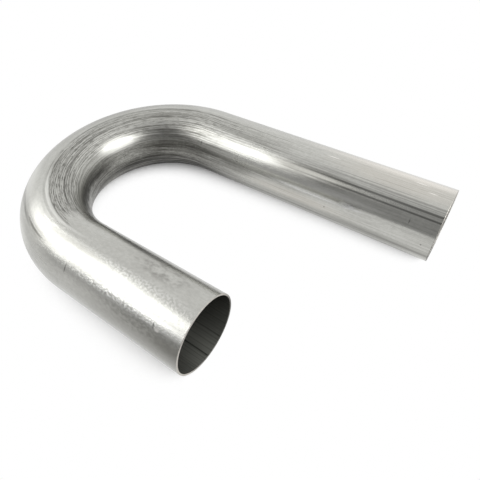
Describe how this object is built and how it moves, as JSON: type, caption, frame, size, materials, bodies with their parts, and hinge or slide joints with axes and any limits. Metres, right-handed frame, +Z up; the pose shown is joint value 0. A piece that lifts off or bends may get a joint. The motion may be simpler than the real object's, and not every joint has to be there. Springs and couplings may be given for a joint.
{
  "type": "return bend",
  "caption": "Thin-walled steel tube bent through half a turn, with a short and a long straight leg and square-cut open ends, to turn a pipe run back on itself.",
  "frame": {"origin": "under the middle of the part's box, on the plane that the bend lies on", "axes": "+X along both legs, away from the bend; +Y towards the long leg; +Z up, square to the plane of the bend"},
  "size_m": [0.3556, 0.254, 0.0635],
  "materials": {
    "tube_steel": "bare mill-finish welded steel tube, satin on the legs, with burnished draw lines round the bend"
  },
  "bodies": {
    "root": {"bent_tube": "tube_steel"}
  },
  "joints": []
}
